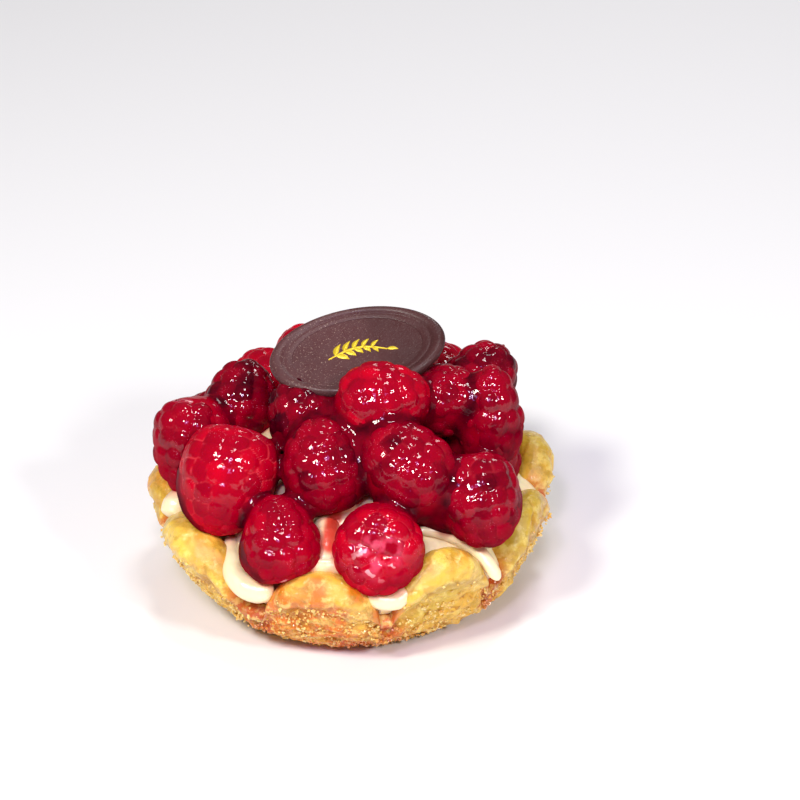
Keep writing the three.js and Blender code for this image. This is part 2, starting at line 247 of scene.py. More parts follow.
# Chocolate plaque: its size, place and tilts in degrees, then its section from the middle of the
# under side over the rim to the dish, as share of its half length and width, and height.
PLAQUE_HALF_LENGTH = 19.1
PLAQUE_HALF_WIDTH = 11.3
PLAQUE_AT = (-0.1, 4.4, 53.6)
PLAQUE_LEAN = 22
PLAQUE_RISE = 6
PLAQUE_TURN = 8
PLAQUE_COLUMNS = 128
PLAQUE_ROWS = 90
PLAQUE_RIM = [
    (0.0, 0.0),
    (0.86, 0.0),
    (0.97, 0.5),
    (1.0, 1.5),
    (0.985, 2.3),
    (0.94, 2.75),
    (0.885, 2.65),
    (0.85, 2.3),
    (0.835, 2.15),
    (0.8, 2.15),
    (0.74, 1.95),
    (0.72, 1.85),
    (0.0, 1.8),
]
PLAQUE_DISH = 1.83

# The sprig's stem, in millimetres on the plaque, and where along it leaves grow in pairs.
STEM_POINTS = 40
LEAF_SPOTS = (5, 11, 17, 23, 29)

# Lights: place in metres, diameter, power and colour. All aim at the middle of the tartlet.
LIGHTS = {
    "key": ((-0.3, -0.42, 0.62), 0.15, 4.2, (0.98, 1.0, 0.87)),
    "top": ((0.1, -0.02, 0.85), 0.16, 1.7, (1, 1, 1)),
    "sparkle_left": ((-0.08, -0.6, 0.66), 0.1, 1.7, (1.0, 0.92, 1.0)),
    "lilac_glow": ((-0.084, -0.63, 0.69), 0.28, 1.5, (0.5, 0.26, 1.0)),
    "sparkle_right": ((0.36, -0.42, 0.46), 0.1, 2.0, (1, 1, 1)),
    "back": ((0.2, 0.6, 0.5), 0.2, 0.9, (1, 1, 1)),
}
LIGHTS_AIM = (0, 0, 0.03)
WORLD_STRENGTH = 0.1
FLOOR_HALF_SIDE = 3


def foot_middle():
    """Where the middle of the pastry's foot is in the frame, in millimetres: the solids are moved
    so that their box is centred, and this vertex is the one that every foot triangle meets."""
    vertices = np.array([v.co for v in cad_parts["pastry_cup"].data.vertices]) / MM
    foot = vertices[vertices[:, 2] < 0.01]
    farthest = np.linalg.norm(foot[:, None, :2] - foot[None, :, :2], axis=2).max(axis=1)
    return foot[farthest.argmin()]


FOOT = foot_middle()


def smoothstep(value, low, high):
    share = np.clip((value - low) / (high - low), 0, 1)
    return share * share * (3 - 2 * share)


def noise(places, size, seed=0):
    """Smooth noise from -1 to 1 at places, with bumps about size wide."""
    scaled = np.asarray(places, float) / size + seed * 17.31
    cell = np.floor(scaled).astype(np.int64)
    part = scaled - cell
    ease = part * part * (3 - 2 * part)
    total = np.zeros(len(scaled))
    for corner in range(8):
        step = np.array([(corner >> axis) & 1 for axis in range(3)])
        spot = cell + step
        mixed = spot[:, 0] * 73856093 ^ spot[:, 1] * 19349663 ^ spot[:, 2] * 83492791
        mixed = (mixed ^ (mixed >> 13)) * 1274126177 & 0x7FFFFFFF
        value = (mixed % 65521) / 32760.5 - 1
        weight = np.prod(np.where(step == 1, ease, 1 - ease), axis=1)
        total += value * weight
    return total


def build_mesh(name, vertices, faces, smooth=True):
    """A new object from vertices in millimetres from the foot's middle."""
    mesh = bpy.data.meshes.new(name)
    mesh.from_pydata(((vertices + FOOT) * MM).tolist(), [], faces)
    mesh.validate()
    mesh.polygons.foreach_set("use_smooth", [smooth] * len(mesh.polygons))
    piece = bpy.data.objects.new(name, mesh)
    bpy.context.scene.collection.objects.link(piece)
    return piece


def paint(piece, name, values):
    """Stores one value or one colour per vertex, for the material to read."""
    values = np.asarray(values, float)
    if values.ndim == 1:
        attribute = piece.data.attributes.new(name, "FLOAT", "POINT")
        attribute.data.foreach_set("value", values.astype(np.float32))
        return
    attribute = piece.data.color_attributes.new(name, "FLOAT_COLOR", "POINT")
    colours = np.ones((len(values), 4), np.float32)
    colours[:, :3] = values
    attribute.data.foreach_set("color", colours.ravel())


def turned(rings, bottom, top):
    """Vertices and faces of a closed form: rings is rows by columns by 3, and bottom and top are
    the points that close it."""
    rows, columns, _ = rings.shape
    vertices = np.concatenate([[bottom], rings.reshape(-1, 3), [top]])

    def index(row, column):
        return 1 + row * columns + column % columns

    faces = [
        (index(row, column), index(row, column + 1), index(row + 1, column + 1), index(row + 1, column))
        for row in range(rows - 1)
        for column in range(columns)
    ]
    last = len(vertices) - 1
    faces += [(0, index(0, column + 1), index(0, column)) for column in range(columns)]
    faces += [(last, index(rows - 1, column), index(rows - 1, column + 1)) for column in range(columns)]
    return vertices, faces


def with_poles(values):
    """Values for the vertices of a turned form: those at its two poles repeat their neighbours'."""
    return np.concatenate([values[:1], values, values[-1:]])


def finished(piece, material, slot, *nodes):
    """Gives a piece its material and makes it ride on the tartlet. The slot is not used."""
    piece.data.materials.append(material)
    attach(piece, "root")
    if nodes:
        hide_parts(*nodes)
    return piece


def srgb(red, green, blue):
    """A linear colour from 0 to 255 values as seen on a screen."""
    values = np.array([red, green, blue]) / 255
    linear = np.where(values <= 0.04045, values / 12.92, ((values + 0.055) / 1.055) ** 2.4)
    return (*linear.tolist(), 1.0)


class Nodes:
    """Short ways to wire a material's nodes."""

    def __init__(self, name):
        self.material = bpy.data.materials.new(name)
        self.material.use_nodes = True
        self.tree = self.material.node_tree
        self.shader = self.tree.nodes["Principled BSDF"]

    def put(self, value, socket):
        if isinstance(value, bpy.types.NodeSocket):
            self.tree.links.new(value, socket)
        else:
            socket.default_value = value

    def set(self, **values):
        for key, value in values.items():
            self.put(value, self.shader.inputs[key.replace("_", " ")])

    def add(self, kind, inputs, **settings):
        """A new node. Each of its inputs takes a number, a colour or another node's output."""
        node = self.tree.nodes.new(kind)
        for key, value in settings.items():
            setattr(node, key, value)
        for key, value in inputs.items():
            self.put(value, node.inputs[key])
        return node

    def attribute(self, name, output="Fac"):
        return self.add("ShaderNodeAttribute", {}, attribute_name=name).outputs[output]

    def coordinates(self):
        return self.add("ShaderNodeTexCoord", {}).outputs["Object"]

    def noise(self, scale, detail=2.0, roughness=0.5):
        inputs = {"Vector": self.coordinates(), "Scale": scale, "Detail": detail, "Roughness": roughness}
        return self.add("ShaderNodeTexNoise", inputs).outputs["Fac"]

    def cells(self, scale):
        inputs = {"Vector": self.coordinates(), "Scale": scale}
        return self.add("ShaderNodeTexVoronoi", inputs).outputs["Distance"]

    def maths(self, operation, a, b):
        return self.add("ShaderNodeMath", {0: a, 1: b}, operation=operation).outputs[0]

    def stretch(self, value, low, high, to_low=0.0, to_high=1.0):
        ends = {"From Min": low, "From Max": high, "To Min": to_low, "To Max": to_high}
        node = self.add("ShaderNodeMapRange", {"Value": value, **ends}, interpolation_type="SMOOTHSTEP")
        return node.outputs["Result"]

    def mix(self, share, a, b):
        inputs = {"Factor": share, "A": a, "B": b}
        return self.add("ShaderNodeMix", inputs, data_type="RGBA").outputs["Result"]

    def bump(self, height, distance):
        inputs = {"Height": height, "Distance": distance, "Strength": 1.0}
        return self.add("ShaderNodeBump", inputs).outputs["Normal"]


def raspberry_material():
    """Crimson, translucent and glazed. Each drupelet has its own red, partly painted shade, and seams are
    paler. Painted glints: pale specks all over and white flecks in the base hollow.
    """
    n = Nodes("raspberry")
    bright = n.attribute("bright")
    seam = n.attribute("seam")
    lively = n.maths("ADD", bright, n.maths("MULTIPLY", n.maths("SUBTRACT", n.noise(260, 3), 0.5), 0.6))
    flesh = n.mix(n.stretch(lively, 0.0, 0.6), srgb(56, 0, 15), srgb(146, 0, 28))
    flesh = n.mix(n.stretch(lively, 0.55, 1.15), flesh, srgb(196, 0, 32))
    flesh = n.mix(seam, flesh, srgb(232, 70, 80))
    scar_and_glints = n.attribute("scar_and_glints")
    pink = n.maths("MULTIPLY", scar_and_glints, n.stretch(n.noise(300, 2), 0.42, 0.6))
    flesh = n.mix(pink, flesh, srgb(222, 74, 104))
    # Painted glints: white flecks in the base hollow, where its glaze catches the light.
    painted_glints = n.maths("MULTIPLY", scar_and_glints, n.stretch(n.noise(400, 2), 0.6, 0.66))
    flesh = n.mix(painted_glints, flesh, srgb(250, 196, 200))
    # Painted glints: tiny pale dots over the red, standing in for sparkles on the wet glaze.
    dots = n.stretch(n.cells(2100), 0.1, 0.2, 0.6, 0.0)
    painted_glint_specks = n.maths("MULTIPLY", dots, n.stretch(n.noise(260, 2), 0.5, 0.66))
    flesh = n.mix(painted_glint_specks, flesh, srgb(240, 120, 150))
    n.set(Base_Color=flesh, Roughness=0.4, Specular_IOR_Level=0.0)
    n.set(Subsurface_Weight=0.25, Subsurface_Scale=0.0025, Subsurface_Radius=(1.0, 0.08, 0.1))
    n.set(Coat_Weight=n.attribute("glazed"), Coat_Roughness=0.02, Coat_IOR=1.9)
    n.set(Normal=n.bump(n.noise(1500, 2), 0.0001))
    n.set(Coat_Normal=n.bump(n.noise(820, 1.5), 0.00014))
    return n.material


def pastry_material():
    """Baked crust under its painted colours: crumbly where sugared, with painted shade in the crumbs'
    hollows, mottled pale and dull, and wet with glaze higher up."""
    n = Nodes("pastry")
    colour = n.attribute("tint", "Color")
    speckle = n.maths("MULTIPLY", n.stretch(n.noise(1100, 4, 0.65), 0.5, 0.66), n.attribute("sugared"))
    colour = n.mix(n.maths("MULTIPLY", speckle, 0.5), colour, srgb(252, 212, 104))
    # Painted shade: in the sugared crumbs, darker brown where the crumbly bump dips.
    hollow = n.maths("MULTIPLY", n.stretch(n.noise(700, 3), 0.46, 0.34), n.attribute("sugared"))
    colour = n.mix(n.maths("MULTIPLY", hollow, 0.65), colour, srgb(168, 96, 20))
    pale = n.stretch(n.noise(380, 5, 0.65), 0.5, 0.64)
    colour = n.mix(n.maths("MULTIPLY", pale, 0.5), colour, srgb(255, 232, 132))
    dull = n.stretch(n.noise(300, 5, 0.65), 0.48, 0.36)
    colour = n.mix(n.maths("MULTIPLY", dull, 0.55), colour, srgb(178, 132, 20))
    n.set(Base_Color=colour, Roughness=n.attribute("dry"), Specular_IOR_Level=0.15)
    n.set(Coat_Weight=n.attribute("glazed"), Coat_Roughness=0.03, Coat_IOR=1.9)
    n.set(Coat_Normal=n.bump(n.noise(480, 4, 0.6), 0.0009))
    n.set(Subsurface_Weight=0.12, Subsurface_Scale=0.0015, Subsurface_Radius=(1.0, 0.6, 0.25))
    n.set(Normal=n.bump(n.noise(700, 4, 0.6), 0.0005))
    return n.material


def cream_material():
    """Soft, smooth and faintly uneven, with its painted colours."""
    n = Nodes("cream")
    colour = n.attribute("tint", "Color")
    soft = n.stretch(n.noise(120, 3), 0.3, 0.7)
    colour = n.mix(n.maths("MULTIPLY", soft, 0.12), colour, srgb(255, 232, 186))
    n.set(Base_Color=colour, Roughness=0.3, Specular_IOR_Level=0.5)
    n.set(Subsurface_Weight=0.25, Subsurface_Scale=0.002, Subsurface_Radius=(1.0, 0.55, 0.3))
    n.set(Coat_Weight=0.4, Coat_Roughness=0.12)
    n.set(Normal=n.bump(n.noise(260, 3), 0.0005))
    return n.material


def chocolate_material():
    """Dark and satin, with pale dust specks and a painted lighter tone towards the left end, the side the
    light falls on.
    """
    n = Nodes("chocolate")
    sheen = n.stretch(n.noise(60, 3), 0.3, 0.7)
    colour = n.mix(sheen, srgb(54, 27, 27), srgb(72, 39, 39))
    # Painted light: where the mask is strong the chocolate is made lighter, as on its lit side; the next
    # lines add its dust specks.
    colour = n.mix(n.maths("MULTIPLY", n.attribute("dust_and_lit_side"), 0.4), colour, srgb(98, 62, 64))
    dust = n.maths("MULTIPLY", n.stretch(n.noise(2600, 2, 0.7), 0.6, 0.7), n.attribute("dust_and_lit_side"))
    colour = n.mix(n.maths("MULTIPLY", dust, 0.55), colour, srgb(176, 150, 136))
    n.set(Base_Color=colour, Roughness=n.stretch(n.noise(420, 4), 0.3, 0.7, 0.32, 0.5))
    n.set(Specular_IOR_Level=0.35)
    n.set(Normal=n.bump(n.noise(2600, 3), 0.00008))
    return n.material


def gold_material():
    n = Nodes("gold_lustre")
    colour = n.mix(n.noise(1200, 3), srgb(196, 160, 14), srgb(244, 220, 60))
    n.set(Base_Color=colour, Metallic=0.35, Roughness=0.38)
    n.set(Normal=n.bump(n.noise(3000, 3), 0.00005))
    return n.material


def sugar_material():
    """Clear golden crystals, browner where juice has wet them."""
    n = Nodes("sugar")
    colour = n.mix(n.stretch(n.noise(420, 2), 0.35, 0.65), srgb(226, 170, 72), srgb(250, 216, 134))
    colour = n.mix(n.maths("MULTIPLY", n.attribute("wet"), 0.75), colour, srgb(204, 88, 26))
    n.set(Base_Color=colour, Roughness=0.1, Specular_IOR_Level=0.9)
    n.set(Subsurface_Weight=0.4, Subsurface_Scale=0.0012, Subsurface_Radius=(1.0, 0.75, 0.4))
    n.set(Normal=n.bump(n.noise(2500, 2), 0.0001))
    return n.material


def gel_material():
    """Red glaze that has run together in the hollows between raspberries. It is dark where it is
    deep, and as red as the raspberry under it where it is a thin film."""
    n = Nodes("glaze")
    colour = n.mix(n.stretch(n.noise(240, 3), 0.3, 0.7), srgb(58, 0, 12), srgb(110, 0, 22))
    colour = n.mix(n.attribute("film"), colour, srgb(188, 0, 32))
    n.set(Base_Color=n.mix(n.attribute("pale"), colour, srgb(214, 60, 60)), Roughness=0.08)
    n.set(Subsurface_Weight=0.3, Subsurface_Scale=0.002, Subsurface_Radius=(1.0, 0.1, 0.1))
    n.set(Coat_Weight=n.attribute("glazed"), Coat_Roughness=0.02, Coat_IOR=1.9, Specular_IOR_Level=0.0)
    n.set(Coat_Normal=n.bump(n.noise(600, 2), 0.0002))
    return n.material


def petals_at(angles):
    """For angles in degrees: the petal and next petal's numbers, the petal's width in degrees and
    how far across it each angle is, from 0 to 1."""
    starts = np.array([petal["from"] for petal in PETALS], float) - PETALS[0]["from"]
    turn = (np.asarray(angles, float) - PETALS[0]["from"]) % 360
    index = np.searchsorted(starts, turn + 1e-6, side="right") - 1
    ends = np.append(starts[1:], 360.0)
    width = ends[index] - starts[index]
    across = np.maximum(turn - starts[index], 0) / width
    return index, (index + 1) % len(PETALS), width, across


def petal_values(key):
    return np.array([petal[key] for petal in PETALS], float)


def petal_arch(angles):
    """0 in the cuts on both sides of a petal, 1 over its middle."""
    index, after, width, across = petals_at(angles)
    start = petal_values("half")[index] / width
    end = 1 - petal_values("half")[after] / width
    share = np.clip((across - start) / (end - start), 0, 1)
    return np.sin(np.pi * share) ** 0.5


def stands_out(angles):
    index, after, _, across = petals_at(angles)
    out = petal_values("out")
    early = across < 0.5
    low = np.where(early, out[index - 1], out[index])
    high = np.where(early, out[index], out[after])
    share = np.where(early, across + 0.5, across - 0.5)
    return low + (high - low) * smoothstep(share, 0, 1)


def wall_points(angles, radius, height):
    """The pastry wall's radius and height at angles, from a section's radius and height."""
    index, after, _, across = petals_at(angles)
    arch = petal_arch(angles)
    cuts = petal_values("cut")
    cut = cuts[index] + (cuts[after] - cuts[index]) * smoothstep(across, 0.3, 0.7)
    top = cut + (petal_values("top")[index] - cut) * arch
    lift = np.maximum(height - CUT_FOOT, 0) / (RIM_HEIGHT - CUT_FOOT)
    pinched = smoothstep(radius, 34, 42) * smoothstep(lift, 0, 0.7)
    lip = (CUT_PINCH + petal_values("swell")[index]) * arch - CUT_PINCH
    wide = radius + stands_out(angles) + pinched * lip
    return wide, np.minimum(height, CUT_FOOT) + lift * (top - CUT_FOOT)


def wall_spot(angle, height):
    """The radius, angle and height of a spot on the outside of the wall."""
    outside = WALL_SECTION[:OUTSIDE_ROWS]
    radius = np.interp(height, [row[1] for row in outside], [row[0] for row in outside])
    wide, high = wall_points(np.array([angle]), np.array([radius]), np.array([height]))
    return wide[0], angle, high[0]


def spline(points, count):
    """A smooth run through points, count long, by centripetal Catmull-Rom."""
    points = np.array(points, float)
    padded = np.concatenate([[2 * points[0] - points[1]], points, [2 * points[-1] - points[-2]]])
    along = np.linspace(0, len(points) - 1 - 1e-9, count)
    start = along.astype(int)
    t = (along - start)[:, None]
    a, b, c, d = (padded[start + i] for i in range(4))
    return 0.5 * (2 * b + (c - a) * t + (2 * a - 5 * b + 4 * c - d) * t**2 + (3 * b - a - 3 * c + d) * t**3)


def unit(vectors):
    return vectors / np.linalg.norm(vectors, axis=1)[:, None]


def round_places(radius, angle, height):
    radians = np.radians(angle)
    return np.stack([radius * np.cos(radians), radius * np.sin(radians), height], axis=-1)


def make_cup():
    """The pastry, with a crumbly sugared wall under smooth, lumpy rolled petals."""
    section = spline(WALL_SECTION, CUP_ROWS)
    angles = np.linspace(-180, 180, CUP_COLUMNS, endpoint=False)
    angle, radius = np.meshgrid(angles, section[:, 0])
    _, height = np.meshgrid(angles, section[:, 1])
    flat = angle.ravel()
    wide, high = wall_points(flat, radius.ravel(), height.ravel())
    along = np.repeat(np.linspace(0, 1, CUP_ROWS), CUP_COLUMNS)
    places = round_places(wide, flat, high)
    sugared = sugar_share(flat, along, places)
    crumb = 0.5 * noise(places, 2.2, 1) + 0.35 * noise(places, 1.1, 2) + 0.12 * noise(places, 0.6, 7)
    lumps = 0.7 * noise(places, 6, 4) + 0.5 * noise(places, 2.8, 5) + 0.22 * noise(places, 1.3, 20)
    lumps -= 0.5 * np.clip(1 - 5 * np.abs(noise(places * (1, 1, 1.6), 7, 23)), 0, 1)
    outside = (1 - smoothstep(along, 0.68, 0.8)) * smoothstep(along, 0.02, 0.08)
    crease = np.exp(-(((along - 0.46 - 0.03 * noise(places, 9, 15)) / 0.024) ** 2)) * petal_arch(flat)
    crease *= 1 - smoothstep(petal_blend(flat, "juice"), 0.3, 0.5)
    push = sugared * crumb + outside * (lumps - 0.4 * crease)
    places = round_places(wide + push, flat, high + 0.3 * sugared * noise(places, 1.2, 6))
    places[:CUP_COLUMNS, 2] = 0
    rings = places.reshape(*angle.shape, 3)
    vertices, faces = turned(rings, (0, 0, 0), (0, 0, FLOOR_HEIGHT))
    piece = build_mesh("pastry", vertices, faces)
    tint, dry = cup_colours(flat, along, places, sugared, crease, lumps)
    paint(piece, "sugared", with_poles(sugared))
    paint(piece, "glazed", with_poles(0.14 + 0.36 * smoothstep(along, 0.26, 0.44)))
    paint(piece, "tint", with_poles(tint))
    paint(piece, "dry", with_poles(dry))
    return finished(piece, pastry_material(), "pastry", "pastry_cup")


def sugar_share(angle, along, places):
    """1 where sugar covers the wall, less and less above each petal's own limit."""
    ragged = along + 0.06 * noise(places, 5, 3) + 0.03 * noise(places, 2, 16)
    limit = petal_blend(angle, "sugar")
    cover = 1 - 0.85 * smoothstep(ragged - limit, -0.04, 0.12)
    return smoothstep(along, 0.02, 0.07) * cover * (1 - smoothstep(along, 0.62, 0.74))


def blend_colours(base, colour, share):
    return base + (np.array(srgb(*colour)[:3]) - base) * np.asarray(share)[:, None]


def petal_blend(angle, key):
    """One of the petals' values at angles, running smoothly into the next petal's."""
    index, after, _, across = petals_at(angle)
    values = petal_values(key)
    return values[index] + (values[after] - values[index]) * smoothstep(across, 0.85, 1)


def stained(places):
    """1 where juice has dried on the pastry, 0 away from there."""
    share = np.zeros(len(places))
    for around, height, size in PASTRY_STAINS:
        middle = round_places(*wall_spot(around, height))
        near = np.linalg.norm(places - middle, axis=1) + 1.6 * noise(places, 2.5, 25)
        share = np.maximum(share, 1 - smoothstep(near, size * 0.3, size))
    return share


def cup_colours(angle, along, places, sugared, crease, lumps):
    """Golden where the petals roll over, olive below, orange where juice has run and darker at the foot.
    Painted shade darkens the crease under each roll; the lumps' hollows and the deep parts of the cuts are
    darker, partly from glaze and juice gathered there and partly as painted shade. Also gives the
    roughness."""
    arch = petal_arch(angle)
    tint = np.tile(np.array(srgb(244, 206, 84)[:3]), (len(angle), 1))
    olive = smoothstep(noise(places, 8, 8), -0.2, 0.5) * smoothstep(along, 0.1, 0.3)
    tint = blend_colours(tint, (200, 172, 40), olive * 0.65)
    toast = smoothstep(noise(places, 5, 18), 0.0, 0.7)
    tint = blend_colours(tint, (236, 158, 54), toast * (0.4 + 0.35 * smoothstep(along, 0.36, 0.5)))
    tint = blend_colours(tint, (220, 166, 52), sugared * 0.6)
    tint = blend_colours(tint, (186, 92, 24), (1 - smoothstep(along, 0.02, 0.22)) * 0.75)
    # Painted shade: the crease under each petal's roll is darkened to olive.
    tint = blend_colours(tint, (180, 140, 14), crease * 0.75)
    patchy = smoothstep(noise(places, 4.5, 19), -0.6, 0.4)
    orange = petal_blend(angle, "juice") * (0.2 + 0.8 * patchy) * (1 - smoothstep(along, 0.72, 0.8))
    tint = blend_colours(tint, (224, 108, 16), orange)
    # Darker in the lumps' hollows: partly glaze gathered there, partly painted shade.
    tint = blend_colours(tint, (190, 120, 26), 0.55 * smoothstep(-lumps, 0.05, 0.7))
    cut = 1 - smoothstep(arch, 0.1, 0.6 + 0.25 * noise(places, 4, 9))
    stain = cut * smoothstep(along, 0.14, 0.34) * (1 - smoothstep(along, 0.72, 0.8))
    tint = blend_colours(tint, (232, 114, 18), stain * 0.8)
    tint = blend_colours(tint, (196, 70, 16), stained(places) * 0.8)
    # Darker red-brown deep in the cuts between petals: partly juice soaked in there, partly painted shade.
    deep = (1 - smoothstep(arch, 0.1, 0.5)) * smoothstep(along, 0.2, 0.45)
    tint = blend_colours(tint, (172, 52, 14), deep * 0.75)
    return tint, np.clip(0.34 - 0.18 * stain + 0.12 * sugared, 0.12, 0.8)


def scatter_sugar():
    """Fine crystals pressed all over the sugared wall, joined into one piece."""
    random = np.random.default_rng(7)
    section = spline(WALL_SECTION, 400)
    last = len(section) - 1
    count = CRYSTAL_COUNT
    angle = random.uniform(-180, 180, count)
    ragged = noise(round_places(np.full(count, 40.0), angle, np.zeros(count)), 5, 24)
    limit = petal_blend(angle, "sugar") + 0.03 + 0.07 * ragged
    stray = np.where(random.random(count) < STRAY_SHARE, random.uniform(0, STRAY_REACH, count), 0)
    along = 0.04 + (limit - 0.04) * random.random(count) + stray
    rows = (along * last).astype(int)
    wide, high = wall_points(angle, section[rows, 0], section[rows, 1])
    centres = round_places(wide + random.uniform(-0.2, 0.35, count), angle, high)
    sizes = random.uniform(*CRYSTAL_SIZES, count)
    sizes *= np.where(random.random(count) < LARGE_SHARE, LARGE_SIZE, 1.0)
    corners = np.array([(1, 0, 0), (-1, 0, 0), (0, 1, 0), (0, -1, 0), (0, 0, 1), (0, 0, -1)], float)
    faces = [(0, 2, 4), (2, 1, 4), (1, 3, 4), (3, 0, 4), (2, 0, 5), (1, 2, 5), (3, 1, 5), (0, 3, 5)]
    vertices = []
    all_faces = []
    for index in range(count):
        turn = Quaternion(random.normal(size=4)).normalized().to_matrix()
        stretched = corners * sizes[index] * random.uniform(0.7, 1.3, 3)
        vertices.append(stretched @ np.array(turn).T + centres[index])
        all_faces += [tuple(corner + index * 6 for corner in face) for face in faces]
    vertices = np.concatenate(vertices)
    vertices[:, 2] = np.maximum(vertices[:, 2], 0.05)
    piece = build_mesh("sugar_crystals", vertices, all_faces, smooth=False)
    paint(piece, "wet", stained(vertices))
    return finished(piece, sugar_material(), "pastry")


def swept(stations):
    """A roll with rounded ends along stations, each a place and half the thickness there."""
    stations = np.array(stations)
    path = spline(stations[:, :3], FOLD_ROWS)
    width = np.interp(np.linspace(0, 1, FOLD_ROWS), np.linspace(0, 1, len(stations)), stations[:, 3])
    row = np.arange(FOLD_ROWS)
    reach = np.minimum(row, row[::-1]) / (FOLD_ROWS * 0.1)
    width = width * np.sqrt(np.clip(1 - (1 - np.minimum(reach, 1)) ** 2, 0.0004, 1))
    ahead = unit(np.gradient(path, axis=0))
    side = unit(np.cross(ahead, (0, 0, 1)))
    above = np.cross(side, ahead)
    turn = np.linspace(0, 2 * np.pi, FOLD_COLUMNS, endpoint=False)
    rings = path[:, None] + width[:, None, None] * (
        side[:, None] * np.cos(turn)[None, :, None] + above[:, None] * np.sin(turn)[None, :, None]
    )
    return turned(rings, path[0], path[-1])


def make_cream():
    """The cream, with a tongue through each cut and rolls pressed out over the petals."""
    section = spline([(radius, height) for radius, height, _ in CREAM_SECTION], CREAM_ROWS)
    stations = np.linspace(0, len(CREAM_SECTION) - 1, CREAM_ROWS)
    shares = np.interp(stations, range(len(CREAM_SECTION)), [share for _, _, share in CREAM_SECTION])
    angles = np.linspace(-180, 180, CREAM_COLUMNS, endpoint=False)
    angle, radius = np.meshgrid(angles, section[1:-1, 0])
    _, height = np.meshgrid(angles, section[1:-1, 1])
    share = np.repeat(shares[1:-1], CREAM_COLUMNS)
    flat = angle.ravel()
    swell = (1 - petal_arch(flat)) * share
    wide = radius.ravel()
    wide = wide + stands_out(flat) * smoothstep(wide, 0, 25) + TONGUE_REACH * swell
    high = height.ravel() - TONGUE_DROP * swell
    places = round_places(wide, flat, high)
    upper = smoothstep(high, 16, 22)
    places[:, 2] += upper * (0.5 * noise(places, 7, 11) + 0.25 * noise(places, 3, 12))
    ends = ((0, 0, section[0, 1]), (0, 0, section[-1, 1]))
    vertices, faces = turned(places.reshape(*angle.shape, 3), *ends)
    for places_along in CREAM_FOLDS:
        fold, fold_faces = swept(places_along)
        faces += [tuple(corner + len(vertices) for corner in face) for face in fold_faces]
        vertices = np.concatenate([vertices, fold])
    piece = build_mesh("cream_detailed", vertices, faces)
    paint(piece, "tint", cream_colours(vertices))
    return finished(piece, cream_material(), "cream", "cream")


def cream_colours(vertices):
    """Pale where it is clean, peach and red near raspberries, dark red under glaze pools, and painted
    shade, in dark red, under the middle of the heap.
    """
    near = np.min([outside_berry(vertices, berry) for berry in BERRIES.values()], axis=0)
    tint = np.tile(np.array(srgb(255, 236, 190)[:3]), (len(vertices), 1))
    peach = (1 - smoothstep(near, 0.0, 2.2 + 1.4 * noise(vertices, 3, 13))) * 0.6
    tint = blend_colours(tint, (255, 178, 142), peach)
    red = (1 - smoothstep(near, -0.4, 0.4 + 0.5 * noise(vertices, 2.5, 14))) * 0.85
    tint = blend_colours(tint, (206, 40, 46), red)
    pooled = np.min([np.linalg.norm(vertices - at, axis=1) - size for at, size in GLAZE_POOLS], axis=0)
    # Painted shade: the cream under the middle of the raspberry heap is darkened to dark red; near glaze
    # pools the same dark red is the glaze's.
    under = 1 - smoothstep(np.hypot(vertices[:, 0], vertices[:, 1]) + 2 * noise(vertices, 4, 21), 17, 22)
    dark = np.maximum(under, 1 - smoothstep(pooled, 0.0, 1.6))
    tint = blend_colours(tint, (150, 10, 26), dark * 0.9)
    return blend_colours(tint, (222, 30, 12), juice_streak(vertices))


def juice_streak(places):
    start, end = (np.array(point) for point in JUICE_STREAK)
    along = end - start
    share = np.clip((places - start) @ along / (along @ along), 0, 1)
    away = np.linalg.norm((places - start - share[:, None] * along)[:, :2], axis=1)
    return 1 - smoothstep(away, JUICE_WIDTH * 0.6, JUICE_WIDTH * 1.3)


def direction(tip):
    round_angle, up_angle = (math.radians(value) for value in tip)
    return (
        math.cos(up_angle) * math.cos(round_angle),
        math.cos(up_angle) * math.sin(round_angle),
        math.sin(up_angle),
    )


def berry_form(width, length, polar, angle, out=0.0):
    """Places on a smooth raspberry, tip up. polar runs from 0 at the base to 180 at the tip."""
    polar, angle = np.radians(polar), np.radians(angle)
    rounded = np.sin(polar) ** BERRY_FULLNESS * (1 + BERRY_TAPER * np.cos(polar))
    radius = width / 2 * rounded + out * np.sin(polar)
    height = -np.cos(polar) * (length / 2 + out)
    hollow = BERRY_HOLLOW * np.exp(-((np.degrees(polar) / BERRY_HOLLOW_SPREAD) ** 2))
    return np.stack([radius * np.cos(angle), radius * np.sin(angle), height + hollow], axis=-1)


def drupelet_middles(width, length, random):
    """Rings of drupelets, each ring half a drupelet round from the last, and none quite regular."""
    ring_count = round(math.pi * (width + length) / 4 / (DRUPELET_WIDTH * 0.88))
    middles = []
    for ring in range(1, ring_count + 1):
        polar = 180 * (ring - 0.35) / (ring_count + 0.1)
        around = math.pi * width * math.sin(math.radians(polar))
        count = max(1 if ring == ring_count else 5, round(around / DRUPELET_WIDTH))
        for index in range(count):
            angle = 360 * (index + 0.5 * (ring % 2) + random.uniform(-0.12, 0.12)) / count
            middles.append((polar + random.uniform(-3, 3), angle))
    middles.append((179.0, 0.0))
    return berry_form(width, length, *np.array(middles).T)


def drupelet_relief(places, middles):
    """For each place: the drupelet's number, how high it swells there, and how near its seam is."""
    tree = KDTree(len(middles))
    for index, middle in enumerate(middles):
        tree.insert(middle, index)
    tree.balance()
    found = [tree.find_n(place, 2) for place in places]
    number = np.array([pair[0][1] for pair in found])
    first = np.array([pair[0][2] for pair in found])
    second = np.array([pair[1][2] for pair in found])
    dome = np.sqrt(np.clip(1 - (first / (DRUPELET_WIDTH * 0.59)) ** 2, 0.04, 1))
    return number, dome, np.clip((second - first) / SEAM_WIDTH, 0, 1)


